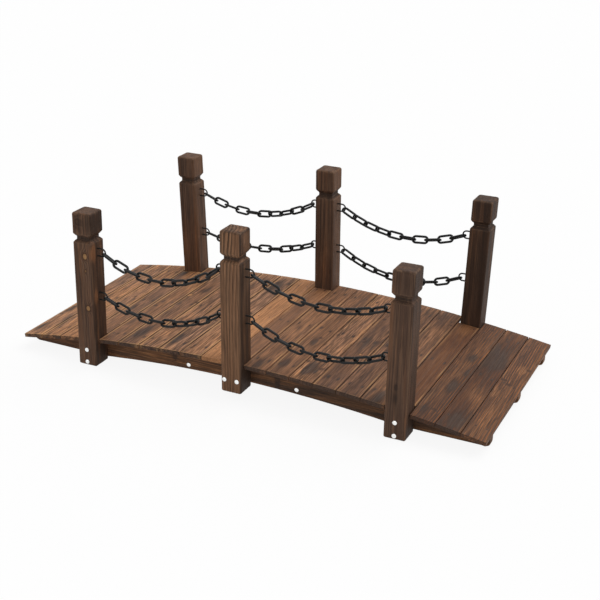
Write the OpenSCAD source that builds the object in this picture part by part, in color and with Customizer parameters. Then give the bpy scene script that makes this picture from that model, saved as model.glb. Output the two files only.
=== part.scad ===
// Garden footbridge: a low arched board deck on three beams, with chain rails between notched posts.
// X runs along the bridge, Y across it, and the ground is at Z zero under the middle of the span.

/* [Deck] */
// Length of the deck, end to end
deck_length = 1498.6; // [1300:0.1:1900]
// Length of a full deck board, across the bridge
deck_width = 647.7; // [630:0.1:675]
// Height of the deck's crown above the ground
crown_height = 111; // [104:0.5:130]
// How far the deck's ends lie below its crown
deck_rise = 64; // [45:0.5:70]
// Thickness of a deck board
board_thickness = 12; // [9:0.5:18]
// Deck boards on each side of the crown board
boards_per_side = 10; // [8:1:12]
// Gap between neighbouring boards
board_gap = 2; // [1:0.1:4]
// Bevel along a board's upper edges
board_bevel = 1.2; // [0.5:0.1:2.5]
// Gap between the end of a short board and the post that it meets
board_end_gap = 1; // [0.5:0.1:3]

/* [Posts] */
// Width of a square post
post_width = 63.5; // [50:0.5:64]
// Length of a post
post_length = 489; // [440:0.5:600]
// Distance from a middle post to an outer post, centre to centre
post_spacing = 500; // [460:0.5:540]
// Width of the bridge over the outer faces of the posts
overall_width = 679.45; // [660:0.05:700]
// How much higher a middle post's foot is than an outer post's
middle_lift = 23; // [10:0.5:28]
// Share of each post's own lean that is kept, where 0 stands the posts upright
lean_kept_share = 1; // [0:0.05:1]
// Rounding of a post's long edges
post_edge = 4; // [1:0.5:8]
// Bevel round a post's foot
foot_bevel = 4; // [1:0.5:10]
// Rounding of the top edges of a post's cap
cap_round = 7; // [2:0.5:14]
// Height of the cap above the groove
cap_height = 65; // [45:0.5:80]
// Depth of the groove under the cap
groove_depth = 8.5; // [4:0.5:14]
// Height of the straight neck in the groove
neck_height = 9; // [4:0.5:20]
// Height of the slope from the neck up to the cap
cap_slope = 10; // [4:0.5:16]
// Height of the slope from the shoulder up to the neck
shoulder_slope = 8; // [4:0.5:16]

/* [Beams] */
// Thickness of a beam
beam_thickness = 26; // [18:0.5:40]
// Depth of a beam between its two arcs
beam_depth = 67; // [60:0.5:72]
// Height of a beam's flat foot above the ground
beam_foot_height = 6; // [2:0.5:10]
// How far a beam stops short of the deck's end
beam_inset = 3; // [1:0.5:12]
// Rounding of the lower corner at a beam's end
beam_corner = 12; // [4:0.5:18]
// Length of the board that joins two half beams
splice_length = 430; // [380:1:520]
// Depth of the board that joins two half beams
splice_depth = 42; // [30:0.5:48]
// Thickness of the board that joins two half beams
splice_thickness = 20; // [12:0.5:30]
// How far the joining board lies below the beam's crown
splice_drop = 20; // [16:0.5:22]

/* [Chains] */
// Links in one chain
links_per_chain = 10; // [8:2:14]
// How far a chain hangs below the line between its staples, before its own share
chain_sag = 55; // [30:0.5:64]
// Thickness of a link's wire
link_wire = 7.2; // [5:0.1:7.8]
// Width of a link's eye
link_eye = 12.6; // [11.8:0.1:15]
// Slack between one link and the next
link_play = 0.4; // [0.2:0.1:1]
// Height of the upper chain's staples above a post's foot
upper_staple_height = 365; // [330:0.5:370]
// Height of the lower chain's staples above a post's foot
lower_staple_height = 225; // [190:0.5:260]

/* [Staples] */
// Thickness of a staple's wire
staple_wire = 4.6; // [3.4:0.1:5.2]
// Height of a staple, over its two legs
staple_height = 28; // [26:0.5:32]
// How far a staple stands out from its post
staple_reach = 30; // [24:0.5:34]
// How deep a staple's legs go into the post
staple_depth = 15; // [8:0.5:22]
// Gap round a staple's leg in its hole
staple_play = 0.1; // [0.05:0.05:0.3]

/* [Hidden] */
// Gap between a flat board and the arc of the beams under it
seat_gap = 0.05;
// How far a cutting shape passes the face that it cuts
overrun = 1;
// How far the rounding of a post's long edges stands clear of its leaning faces
rounding_gap = 0.05;
// How far each post leans to the right, as a share of its height: by side, then left, middle and right
lean_shares = [[0.036, 0.0155, 0.0195], [-0.0225, 0.004, 0.036]];
// Link lengths are whole multiples of this, so that a link's bends and bars meet exactly
link_step = 0.02;
// Each chain's own share of the sag: by side, then bay, then upper and lower
sag_shares = [[[1.24, 1.02], [0.86, 0.98]], [[0.98, 0.66], [0.98, 1.02]]];
// Turn of each chain's first link at the outer post, in degrees from level: by side, then bay
first_turns = [[-26, 19], [-26, -26]];
// How far each chain twists on its way to the middle post, in degrees: by side, then bay
chain_twists = [[-45, 45], [-45, -45]];
// Share of a chain's length over which it twists
twist_length_share = 0.36;
// Middle of each chain's twist, as a share of its length from the outer post: by side, then bay, then tier
twist_place_shares = [[[0.58, 0.58], [0.42, 0.42]], [[0.58, 0.8], [0.55, 0.58]]];
// Flat steps in the rounding of a cap
cap_round_steps = 4;
// Sides of a round wire and of an arc of a large circle
wire_facets = 20;
arc_facets = 720;
post_facets = 32;

deck_radius = (pow(deck_length / 2, 2) + pow(deck_rise, 2)) / (2 * deck_rise);
arc_centre_z = crown_height - deck_radius;
board_radius = deck_radius - board_thickness;
beam_radius = board_radius - seat_gap;
underside_radius = beam_radius - beam_depth;

post_y = (overall_width - post_width) / 2;
post_face_y = post_y - post_width / 2;
beam_length = deck_length / 2 - beam_inset;
beam_y = post_face_y - beam_thickness / 2;

// Seams lie at equal angles from the crown board, and the last one half a gap past the deck's end
crown_half_angle = asin((post_width + board_gap) / 2 / deck_radius);
end_angle = asin((deck_length + board_gap) / 2 / deck_radius);
board_angle_step = (end_angle - crown_half_angle) / boards_per_side;
side_board_width = 2 * deck_radius * sin(board_angle_step / 2) - board_gap;
short_board_length = 2 * (post_face_y - board_end_gap);

staple_bend = (staple_height - staple_wire) / 2;
staple_straight = staple_reach - staple_height / 2;
link_bend = (link_eye + link_wire) / 2;

// A post's slope to the right for each millimetre of height, and how far its middle has moved at a height
function lean(side, place) = lean_kept_share * lean_shares[side][place];
function leant(side, place, height) = lean(side, place) * height;

// Centres of a bay's two staple bends, as seen in a left bay, for a staple height on the post
function bay_sign(bay) = bay == 0 ? 1 : -1;
function outer_hold(side, bay, height) =
    [-post_spacing + post_width / 2 + staple_straight + bay_sign(bay) * leant(side, 2 * bay, height), height];
function middle_hold(side, bay, height) =
    [-post_width / 2 - staple_straight + bay_sign(bay) * leant(side, 1, height), height + middle_lift];

// Board 0 is at the crown and negative boards are to the left
function board_turn(place) =
    place == 0 ? 0 : sign(place) * (crown_half_angle + (abs(place) - 1 / 2) * board_angle_step);
function board_width(place) = place == 0 ? post_width : side_board_width;
function board_x(place) = deck_radius * sin(board_turn(place));
function meets_post(place) =
    place == 0 || abs(abs(board_x(place)) - post_spacing) < (post_width + board_width(place)) / 2;
function board_length(place) = meets_post(place) ? short_board_length : deck_width;

SIDES = ["near", "far"];
BAYS = ["left", "right"];
PLACES = ["left", "middle", "right"];
ROWS = ["near", "middle", "far"];
TIERS = ["upper", "lower"];
TIER_HEIGHTS = [upper_staple_height, lower_staple_height];

function side_sign(side) = side == 0 ? -1 : 1;
function post_name(side, place) = str("post_", SIDES[side], "_", PLACES[place]);
function beam_name(row, bay) = str("beam_", ROWS[row], "_", BAYS[bay]);
function splice_name(row) = str("splice_", ROWS[row]);
function board_name(place) = str("deck_board_", place + boards_per_side + 1);
function chain_name(side, bay, tier) = str("chain_", SIDES[side], "_", BAYS[bay], "_", TIERS[tier]);

// Half of a post's outline from foot to top, as distance from its middle against height
function post_half_outline() =
    let (half = post_width / 2)
    let (shoulder = post_length - cap_height - cap_slope - neck_height - shoulder_slope)
    let (neck = shoulder + shoulder_slope)
    concat(
        [
            [half - foot_bevel, 0],
            [half, foot_bevel],
            [half, shoulder],
            [half - groove_depth, neck],
            [half - groove_depth, neck + neck_height],
            [half, post_length - cap_height]
        ],
        [
            for (step = [0 : cap_round_steps])
                let (turn = 90 * step / cap_round_steps)
                    [half - cap_round * (1 - cos(turn)), post_length - cap_round * (1 - sin(turn))]
        ]
    );

// A slab with the post's outline, leaning by a slope
module post_slab(slope, thickness) {
    right = post_half_outline();
    left = [for (i = [len(right) - 1 : -1 : 0]) [-right[i].x, right[i].y]];
    rotate([90, 0, 0])
        linear_extrude(thickness, center = true)
            polygon([for (point = concat(right, left)) [point.x + slope * point.y, point.y]]);
}

module rounded_rectangle(size, radius) {
    straight = size - [2, 2] * radius;
    square([size.x, straight.y], center = true);
    square([straight.x, size.y], center = true);
    for (x = [-1, 1], y = [-1, 1])
        translate([x * straight.x, y * straight.y] / 2)
            circle(radius, $fn = post_facets);
}

// Two crossed slabs cut the groove, the foot's bevel and the cap's rounding on all four faces
module post_blank(slope) {
    reach = 2 * abs(slope) * post_length + post_width;
    intersection() {
        post_slab(slope, post_width);
        rotate([0, 0, 90]) post_slab(0, reach);
        rotate([0, atan(slope), 0])
            linear_extrude(2 * (post_length + post_width), center = true)
                rounded_rectangle([post_width * cos(atan(slope)) + 2 * rounding_gap, post_width], post_edge);
    }
}

// Holes for one staple's legs in the post's face on the right
module staple_holes() {
    for (leg = [-1, 1])
        translate([post_width / 2 - staple_depth - staple_play, 0, leg * staple_bend])
            rotate([0, 90, 0])
                cylinder(d = staple_wire + 2 * staple_play, h = staple_depth + overrun, $fn = wire_facets);
}

// Directions from a post to its chains: inward on an outer post, both ways on a middle post
function chain_directions(place) = place == 0 ? [0] : place == 2 ? [180] : [0, 180];
function post_place(side, place) =
    [(place - 1) * post_spacing, side_sign(side) * post_y, place == 1 ? middle_lift : 0];

module post(side, place) {
    color("#4d3a30")
        translate(post_place(side, place))
            difference() {
                post_blank(lean(side, place));
                for (turn = chain_directions(place), height = TIER_HEIGHTS)
                    translate([leant(side, place, height), 0, height])
                        rotate([0, 0, turn]) staple_holes();
            }
}

// One U of wire standing out to the right, with its legs one above the other
module staple() {
    translate([staple_straight, 0, 0])
        rotate([90, 0, 0])
            rotate([0, 0, -90])
                rotate_extrude(angle = 180, $fn = 3 * wire_facets)
                    translate([staple_bend, 0]) circle(d = staple_wire, $fn = wire_facets);
    for (leg = [-1, 1])
        translate([-staple_depth, 0, leg * staple_bend])
            rotate([0, 90, 0])
                cylinder(d = staple_wire, h = staple_depth + staple_straight, $fn = wire_facets);
}

module staples() {
    color("#2b2a29")
        for (side = [0, 1], place = [0 : 2], turn = chain_directions(place), height = TIER_HEIGHTS)
            translate(post_place(side, place) + [leant(side, place, height), 0, height])
                rotate([0, 0, turn])
                    translate([post_width / 2, 0, 0]) staple();
}

// Right half of a beam seen from the side: two arcs about one centre, and a flat foot
module half_beam_outline() {
    difference() {
        intersection() {
            translate([0, arc_centre_z]) circle(beam_radius, $fn = arc_facets);
            translate([0, beam_foot_height]) square([beam_length, crown_height]);
        }
        translate([0, arc_centre_z]) circle(underside_radius, $fn = arc_facets);
        translate([beam_length - beam_corner, beam_foot_height])
            difference() {
                translate([0, -overrun])
                    square([beam_corner + overrun, beam_corner + overrun]);
                translate([0, beam_corner]) circle(beam_corner, $fn = 2 * post_facets);
            }
    }
}

function beam_place_y(row) = (row - 1) * beam_y;

module beam(row, bay) {
    color("#513a2c")
        translate([0, beam_place_y(row), 0])
            mirror([bay == 0 ? 1 : 0, 0, 0])
                rotate([90, 0, 0])
                    linear_extrude(beam_thickness, center = true) half_beam_outline();
}

// A straight board across the meeting of two half beams, on the side towards the middle of the bridge
module splice(row) {
    inward = row == 2 ? -1 : 1;
    top = arc_centre_z + beam_radius - splice_drop;
    y = beam_place_y(row) + inward * (beam_thickness + splice_thickness) / 2;
    color("#5a4232")
        translate([0, y, top - splice_depth / 2])
            cube([splice_length, splice_thickness, splice_depth], center = true);
}

// Section of a board, with its underside on the line of its own zero height
module board_section(width) {
    half = width / 2;
    polygon([
        [-half, 0],
        [half, 0],
        [half, board_thickness - board_bevel],
        [half - board_bevel, board_thickness],
        [board_bevel - half, board_thickness],
        [-half, board_thickness - board_bevel]
    ]);
}

module deck_board(place) {
    color("#8a674b")
        translate([0, 0, arc_centre_z])
            rotate([0, board_turn(place), 0])
                translate([0, 0, board_radius])
                    rotate([90, 0, 0])
                        linear_extrude(board_length(place), center = true) board_section(board_width(place));
}

// One flat oval link along X, about its own middle
module link(inner_length) {
    straight = inner_length - link_eye;
    for (end = [0, 1])
        mirror([end, 0, 0])
            translate([straight / 2, 0, 0])
                rotate([0, 0, -90])
                    rotate_extrude(angle = 180, $fn = 3 * wire_facets)
                        translate([link_bend, 0]) circle(d = link_wire, $fn = wire_facets);
    for (side = [-1, 1])
        translate([0, side * link_bend, 0])
            rotate([0, 90, 0])
                cylinder(d = link_wire, h = straight, center = true, $fn = wire_facets);
}

// Turn of a link about the chain's line: each lies across the last, and part of the chain is twisted
function link_roll(i, first_turn, twist, twist_place) =
    let (along = i / (links_per_chain - 1))
    let (start = min(max(twist_place - twist_length_share / 2, 0), 1 - twist_length_share))
    90 * i + first_turn + twist * min(max((along - start) / twist_length_share, 0), 1);

// A left bay's chain: links are chords of one arc that joins the bends of its two staples
module left_chain(from, to, sag, first_turn, twist, twist_place) {
    span = to - from;
    reach = norm(span);
    slope = atan2(span.y, span.x);
    radius = (pow(reach / 2, 2) + pow(sag, 2)) / (2 * sag);
    half_angle = asin(reach / 2 / radius);
    hold_angle = 2 * asin((staple_bend - staple_wire / 2) / 2 / radius);
    step = 2 * (half_angle - hold_angle) / links_per_chain;
    chord = 2 * radius * sin(step / 2);
    inner_length = round((chord + link_play) / link_step) * link_step;
    translate([from.x, 0, from.y])
        rotate([0, -slope, 0])
            for (i = [0 : links_per_chain - 1])
                let (turn = -half_angle + hold_angle + (i + 1 / 2) * step)
                    translate([reach / 2, 0, radius - sag])
                        rotate([0, -turn, 0])
                            translate([0, 0, -radius * cos(step / 2)])
                                rotate([link_roll(i, first_turn, twist, twist_place), 0, 0])
                                    link(inner_length);
}

module chain(side, bay, tier) {
    color("#1d1d1c")
        translate([0, side_sign(side) * post_y, 0])
            mirror([bay, 0, 0])
                left_chain(
                    outer_hold(side, bay, TIER_HEIGHTS[tier]),
                    middle_hold(side, bay, TIER_HEIGHTS[tier]),
                    chain_sag * sag_shares[side][bay][tier],
                    first_turns[side][bay],
                    chain_twists[side][bay],
                    twist_place_shares[side][bay][tier]
                );
}

for (side = [0, 1], place = [0 : 2])
    post(side, place);
for (row = [0 : 2], bay = [0, 1])
    beam(row, bay);
for (row = [0 : 2])
    splice(row);
for (place = [-boards_per_side : boards_per_side])
    deck_board(place);
for (side = [0, 1], bay = [0, 1], tier = [0, 1])
    chain(side, bay, tier);
staples();
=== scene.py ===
"""Looks of a garden footbridge: scorched softwood posts, boards and beams, black chains and bright bolts.

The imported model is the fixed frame. Its wood is stood for by skins with eased edges, brushed grain and knots, worked
out below from the same sizes. Chains and staples stay as packed and get their finish here.
Lengths are in millimetres until a mesh is made.
"""

from types import SimpleNamespace

import bpy
import numpy as np
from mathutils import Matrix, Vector


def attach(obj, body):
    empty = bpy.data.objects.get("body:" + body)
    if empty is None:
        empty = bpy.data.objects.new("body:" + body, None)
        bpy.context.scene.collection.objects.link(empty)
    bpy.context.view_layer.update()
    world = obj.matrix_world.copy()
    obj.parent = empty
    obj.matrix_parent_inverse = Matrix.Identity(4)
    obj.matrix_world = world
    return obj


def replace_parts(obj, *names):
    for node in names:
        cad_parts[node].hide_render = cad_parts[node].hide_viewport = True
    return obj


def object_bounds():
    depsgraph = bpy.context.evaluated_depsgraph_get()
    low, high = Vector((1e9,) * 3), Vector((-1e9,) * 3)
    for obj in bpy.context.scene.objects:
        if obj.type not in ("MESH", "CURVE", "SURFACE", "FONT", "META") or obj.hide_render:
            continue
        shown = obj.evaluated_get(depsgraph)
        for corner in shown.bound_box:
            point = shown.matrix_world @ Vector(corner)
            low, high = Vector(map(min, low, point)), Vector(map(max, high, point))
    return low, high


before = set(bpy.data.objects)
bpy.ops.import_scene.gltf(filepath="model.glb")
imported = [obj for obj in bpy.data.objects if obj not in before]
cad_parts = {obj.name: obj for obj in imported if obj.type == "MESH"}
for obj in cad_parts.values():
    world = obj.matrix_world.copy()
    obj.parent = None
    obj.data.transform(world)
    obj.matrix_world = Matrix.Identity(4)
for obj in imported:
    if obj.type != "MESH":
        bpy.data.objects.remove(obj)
cad_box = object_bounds()

MM = 0.001
BODY = "root"

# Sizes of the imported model
DECK_LENGTH, DECK_WIDTH, CROWN, DECK_RISE = 1498.6, 647.7, 111.0, 64.0
BOARD_THICKNESS, BOARDS_PER_SIDE, BOARD_GAP, BOARD_END_GAP = 12.0, 10, 2.0, 1.0
POST_WIDTH, POST_LENGTH, POST_SPACING, OVERALL_WIDTH, MIDDLE_LIFT = 63.5, 489.0, 500.0, 679.45, 23.0
CAP_HEIGHT, CAP_SLOPE, NECK_HEIGHT, SHOULDER_SLOPE, GROOVE_DEPTH = 65.0, 10.0, 9.0, 8.0, 8.5
BEAM_THICKNESS, BEAM_DEPTH, BEAM_FOOT, BEAM_INSET, BEAM_CORNER = 26.0, 67.0, 6.0, 3.0, 12.0
SPLICE_LENGTH, SPLICE_DEPTH, SPLICE_THICKNESS, SPLICE_DROP = 430.0, 42.0, 20.0, 20.0
SEAT_GAP = 0.05
# How far each post leans to the right for each millimetre of height
LEANS = {
    ("near", "left"): 0.036, ("near", "middle"): 0.0155, ("near", "right"): 0.0195,
    ("far", "left"): -0.0225, ("far", "middle"): 0.004, ("far", "right"): 0.036,
}

DECK_RADIUS = ((DECK_LENGTH / 2) ** 2 + DECK_RISE**2) / (2 * DECK_RISE)
ARC_CENTRE = CROWN - DECK_RADIUS
BOARD_RADIUS = DECK_RADIUS - BOARD_THICKNESS
BEAM_RADIUS = BOARD_RADIUS - SEAT_GAP
POST_Y = (OVERALL_WIDTH - POST_WIDTH) / 2
POST_FACE = POST_Y - POST_WIDTH / 2
BEAM_LENGTH = DECK_LENGTH / 2 - BEAM_INSET
BEAM_Y = POST_FACE - BEAM_THICKNESS / 2

SIDES = {"near": -1, "far": 1}
PLACES = {"left": -1, "middle": 0, "right": 1}


def smooth(value, low, high):
    """0 below low, 1 above high, and three t squared less two t cubed between them."""
    t = np.clip((value - low) / (high - low), 0, 1)
    return t * t * (3 - 2 * t)


SCATTER_STEPS, SEED_STEP, SCATTER_SIZE = (127.1, 311.7, 74.7), 19.19, 43758.5453


def speckle(points, cell, seed):
    """Smooth noise from -1 to 1: one scattered number at each corner of a grid of cells, blended along each axis."""
    scaled = points / np.asarray(cell, float)
    base = np.floor(scaled)
    share = smooth(scaled - base, 0, 1)
    total = np.zeros(len(points))
    for corner in np.ndindex(2, 2, 2):
        wave = np.sin((base + corner) @ SCATTER_STEPS + SEED_STEP * seed) * SCATTER_SIZE
        weight = np.where(corner, share, 1 - share).prod(1)
        total += weight * (2 * (wave - np.floor(wave)) - 1)
    return total


def loop_shape(steps_u, steps_v, bend=4):
    """A loop round a rounded rectangle: each point's place on the inner rectangle, from -1 to 1 on both axes, its
    outward direction, and 1 in the middle of a corner's bend falling to 0 on the flats."""
    flat_u, flat_v = (np.linspace(-1, 1, n + 1)[1:-1] for n in (steps_u, steps_v))
    turn = np.linspace(0, np.pi / 2, bend + 1)
    inner, facing, corner = [], [], []
    for quarter in range(4):
        flat = (flat_v, flat_u)[quarter % 2]
        straight = np.stack([np.ones_like(flat), flat], 1)
        inner += [straight, np.ones((bend + 1, 2))]
        facing += [np.tile([1.0, 0.0], (len(flat), 1)), np.stack([np.cos(turn), np.sin(turn)], 1)]
        corner += [np.zeros(len(flat)), np.sin(2 * turn) ** 0.5]
        quarter_turn = np.array([[0.0, -1.0], [1.0, 0.0]])
        spin = np.linalg.matrix_power(quarter_turn, quarter)
        inner[-2:] = [a @ spin.T for a in inner[-2:]]
        facing[-2:] = [a @ spin.T for a in facing[-2:]]
    return SimpleNamespace(
        inner=np.concatenate(inner), facing=np.concatenate(facing), corner=np.concatenate(corner)
    )


# Most of a section's half width that a corner may take
MOST_ROUND = 0.6


def loops_along(shape, along, half_u, half_v, low_round, high_round, middle_v=0.0):
    """Rows of loops along a straight path, as (along, u, v): a point is the inner rectangle's point plus the corner's
    radius times the outward direction. The radius runs from low_round at the lowest v to high_round at the highest."""
    rows = np.stack(np.broadcast_arrays(along, half_u, half_v, low_round, high_round, middle_v))[..., None]
    along, half_u, half_v, low_round, high_round, middle_v = np.asarray(rows, float)
    rise = (shape.inner[:, 1] + 1) / 2
    radius = np.minimum(low_round + (high_round - low_round) * rise, MOST_ROUND * np.minimum(half_u, half_v))
    u = (half_u - radius) * shape.inner[:, 0] + radius * shape.facing[:, 0]
    v = (half_v - radius) * shape.inner[:, 1] + radius * shape.facing[:, 1]
    return np.stack([np.broadcast_to(along, u.shape), u, v + middle_v], -1)


def closed_skin(rings):
    """Points and faces of a closed skin: neighbouring rings are joined by four-sided faces, and the first and last
    rings are closed to their middles by three-sided ones. All faces point outwards."""
    rows, around = rings.shape[:2]
    points = np.concatenate([rings.reshape(-1, 3), rings[:1].mean(1), rings[-1:].mean(1)])
    at = np.arange(around)
    after = (at + 1) % around
    row = around * np.arange(rows - 1)[:, None]
    quads = np.stack([row + at, row + after, row + around + after, row + around + at], -1).reshape(-1, 4)
    top = around * (rows - 1)
    ends = [
        np.stack([after, at, np.full(around, rows * around)], 1),
        np.stack([top + at, top + after, np.full(around, rows * around + 1)], 1),
    ]
    return points, [quads, np.concatenate(ends)]


def outward(points, faces):
    """Unit normals at the points: the sum of the cross products of the diagonals of the faces round each one."""
    total = np.zeros_like(points)
    for group in faces:
        a, b, c, d = (points[group[:, k]] for k in (0, 1, 2, group.shape[1] - 1))
        cross = np.cross(c - a, d - b) if group.shape[1] == 4 else np.cross(b - a, c - a)
        for k in range(group.shape[1]):
            np.add.at(total, group[:, k], cross)
    return total / np.maximum(np.linalg.norm(total, axis=1, keepdims=True), 1e-12)


def add_object(name, data):
    """A new object in the scene."""
    made = bpy.data.objects.new(name, data)
    bpy.context.scene.collection.objects.link(made)
    return made


def make_piece(name, points, faces, slot, material, fields=None):
    """A smooth-shaded mesh in the frame's metres, with one number per point for each named field."""
    mesh = bpy.data.meshes.new(name)
    corners = np.concatenate([group.ravel() for group in faces])
    counts = np.concatenate([np.full(len(group), group.shape[1]) for group in faces])
    mesh.vertices.add(len(points))
    mesh.vertices.foreach_set("co", (points * MM).astype(np.float32).ravel())
    mesh.loops.add(len(corners))
    mesh.loops.foreach_set("vertex_index", corners.astype(np.int32))
    mesh.polygons.add(len(counts))
    mesh.polygons.foreach_set("loop_start", (np.cumsum(counts) - counts).astype(np.int32))
    mesh.update(calc_edges=True)
    mesh.polygons.foreach_set("use_smooth", np.ones(len(counts), bool))
    for field, values in (fields or {}).items():
        made = mesh.attributes.new(field, "FLOAT", "POINT")
        made.data.foreach_set("value", values.astype(np.float32))
    mesh.materials.append(material)
    piece = add_object(name, mesh)
    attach(piece, BODY)
    return piece


# Wood

FIELDS = ("ring", "knot", "scorch", "warmth", "figure", "edge", "depth")
# Kinds of noise in a piece of wood: cells along its fibres and across them, and strength
GRAIN_NOISE = {
    "slow wander": ((310, 48, 48), 2.4), "wander": ((120, 17, 17), 0.9), "knot": ((9, 9, 9), 0.16),
    "cloud": ((260, 34, 34), 0.22), "small cloud": ((80, 12, 12), 0.16), "warmth": ((190, 40, 40), 0.3),
    "wear": ((60, 14, 14), 0.45), "swell": ((140, 30, 30), 0.22), "fuzz": ((24, 4, 4), 0.10),
    "stain": ((40, 9, 9), 0.5), "depth": ((150, 30, 30), 0.12), "figure": ((170, 24, 24), 0.4),
}
MEAN_WEAR, MEAN_FIGURE, MEAN_LATE = 0.55, 0.8, 0.45
# Soot of end grain and of a stain, and warmth of a bleached one
END_SOOT, STAIN_SOOT, BLEACH = 0.5, 0.5, 0.8
# Depths of worn wood and of the groove round a knot, that groove's width, and the relief that edges lose
WORN_DEPTH, KNOT_GROOVE, KNOT_GROOVE_WIDTH, EDGE_LOSS = 0.35, 0.45, 0.18, 0.5
# A knot's least and largest share of its size, how far and how wide it pushes the rings, and where its paleness ends
KNOT_GROWTH, KNOT_PUSH, KNOT_PUSH_WIDTH, PALE_END = (0.15, 1.3), 0.9, 1.7, (0.9, 1.3)
# Knot field far from any knot, and what is added beyond the pith
NO_KNOT, BEHIND_PITH = 6.0, 4
# Late wood starts, is full and stops at these shares of a ring
LATE_START, LATE_FULL, LATE_STOP = 0.3, 0.82, 0.9
# Knots and stains are longer along the fibres by these factors
KNOT_STRETCH, STAIN_STRETCH = 1.25, 2.4
# Where end grain starts and is full, measured in from a piece's end
END_GRAIN = (2.5, 0.5)
# Where the painted shade on a post's face at high u, painted light where its strength is below 0, starts and is full
RIGHT_FACE = (0.86 * POST_WIDTH / 2, 0.97 * POST_WIDTH / 2)
# Between these heights a post's figure fades towards its foot, and between these u towards high u
FADED_FOOT, PLAIN_SIDE = (120, 420), (-4, 24)


def timber(seed, pith, lean, ring_width, figure, scorch, warmth, relief=0.2, knots=(), stains=(), half_length=1e4,
           cloud=1.0, depth=0.0, wander=1.0, bands=(), right_soot=0.0, wear=1.0, fade=0.0, edge_soot=0.0,
           right_plain=0.0):
    """How one piece was cut from its log and finished: where the pith runs, as u and v, and how it leans for each
    millimetre along; ring width; strength of the figure; how scorched and how warm it is; depth of the brushed relief;
    knots as (along, u, v, size, paleness); stains as (along, u, v, size, strength), bleached below 0; how far from the
    middle the end grain lies; how strongly the scorching clouds; how deep the stain is; how far the rings wander;
    bands of darkening as (along, half width, strength), the one at a post's groove being painted shade; painted shade
    on the face at high u, painted light where it is below 0; wear of the edges; how far a post's figure fades towards
    its foot; soot and painted shade on the edges; and how far the figure fades towards high u."""
    return SimpleNamespace(**locals())


def grain_noise(kind, grain, log):
    """Noise of one kind in a piece of wood, from minus to plus its strength. Each kind has its own scatter."""
    cell, strength = GRAIN_NOISE[kind]
    return strength * speckle(grain, cell, log.seed + list(GRAIN_NOISE).index(kind))


def wood_fields(grain, log, edge, rim):
    """The fields of a piece of wood at points (along, u, v), and how far its brushed surface stands proud there.
    Edge is 1 on the edges, where soot and painted shade gather, and rim is 1 where the wood wears.
    Ring number: distance from the leaning pith line, with a slow wander and a bell-shaped push round each knot, over
    the ring width. Knot: distance from the nearest knot's axis, which runs out from the pith, over the knot's size."""
    along, u, v = grain.T
    mottled = lambda kind: grain_noise(kind, grain, log)
    from_pith = grain[:, 1:] - log.pith - np.outer(along, log.lean)
    radius = np.linalg.norm(from_pith, axis=1)
    radius += log.wander * (mottled("slow wander") + mottled("wander"))
    knot = np.full(len(grain), NO_KNOT)
    warmth = log.warmth + mottled("warmth")
    for place, knot_u, knot_v, size, pale in log.knots:
        pith = np.array(log.pith) + np.array(log.lean) * place
        axis = np.array([knot_u, knot_v]) - pith
        reach = np.linalg.norm(axis)
        axis = axis / reach
        across = grain[:, 1:] - pith
        out, aside = across @ axis, across @ (-axis[1], axis[0])
        grown = size * np.clip(out / reach, *KNOT_GROWTH)
        away = np.hypot((along - place) / KNOT_STRETCH, aside) / grown + BEHIND_PITH * (out < 0)
        away *= 1 + mottled("knot")
        radius += KNOT_PUSH * grown * np.exp(-((away / KNOT_PUSH_WIDTH) ** 2))
        knot = np.minimum(knot, away)
        warmth += pale * (1 - smooth(away, *PALE_END))
    ring = radius / log.ring_width
    part = ring - np.floor(ring)
    late = smooth(part, LATE_START, LATE_FULL) * (1 - smooth(part, LATE_STOP, 1.0))
    cloud = mottled("cloud") + mottled("small cloud")
    # Soot and painted shade along the edges, where the seams between boards fall dark
    scorch = log.scorch + log.cloud * cloud + log.edge_soot * edge
    scorch += END_SOOT * smooth(np.abs(along), *(log.half_length - inset for inset in END_GRAIN))
    # Painted shade on the face at high u, or painted light where the strength is below 0
    scorch += log.right_soot * smooth(u, *RIGHT_FACE)
    # Bands of darkening; the band at a post's groove is painted shade
    for place, half_width, strength in log.bands:
        scorch += strength * np.exp(-(((along - place) / half_width) ** 2))
    for place, stain_u, stain_v, size, strength in log.stains:
        gap = np.sqrt(((along - place) / STAIN_STRETCH) ** 2 + (u - stain_u) ** 2 + (v - stain_v) ** 2) / size
        spot = strength * np.exp(-(gap**2) * (1 + mottled("stain")))
        scorch += STAIN_SOOT * spot
        warmth += BLEACH * np.maximum(-spot, 0)
    worn = log.wear * rim * (MEAN_WEAR + mottled("wear"))
    figure = log.figure * (MEAN_FIGURE + mottled("figure"))
    figure *= 1 - log.fade * (1 - smooth(along, *FADED_FOOT))
    figure *= 1 - log.right_plain * smooth(u, *PLAIN_SIDE)
    proud = log.relief * (late - MEAN_LATE) * (1 - EDGE_LOSS * edge) + mottled("swell")
    proud += mottled("fuzz")
    proud -= WORN_DEPTH * worn.clip(0, 1)
    proud -= KNOT_GROOVE * np.exp(-(((knot - 1.0) / KNOT_GROOVE_WIDTH) ** 2))
    depth = log.depth + mottled("depth")
    values = (ring, knot, scorch, warmth, figure, worn, depth)
    return dict(zip(FIELDS, values)), proud


def wooden_piece(node, slot, material, rings, edge, log, placed, rim=None):
    """A wood skin in place of a CAD node: the loops' skin, raised along its normals by the brushed relief, and carried
    from (along, u, v) to the frame by `placed`."""
    grain, faces = closed_skin(rings)
    edge, rim = (np.concatenate([e.ravel(), [0.0, 0.0]]) for e in (edge, edge if rim is None else rim))
    fields, proud = wood_fields(grain, log, edge, rim)
    points = placed(grain + outward(grain, faces) * proud[:, None])
    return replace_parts(make_piece(node + "_wood", points, faces, slot, material, fields), node)


BEND_STEPS = 5


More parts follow.
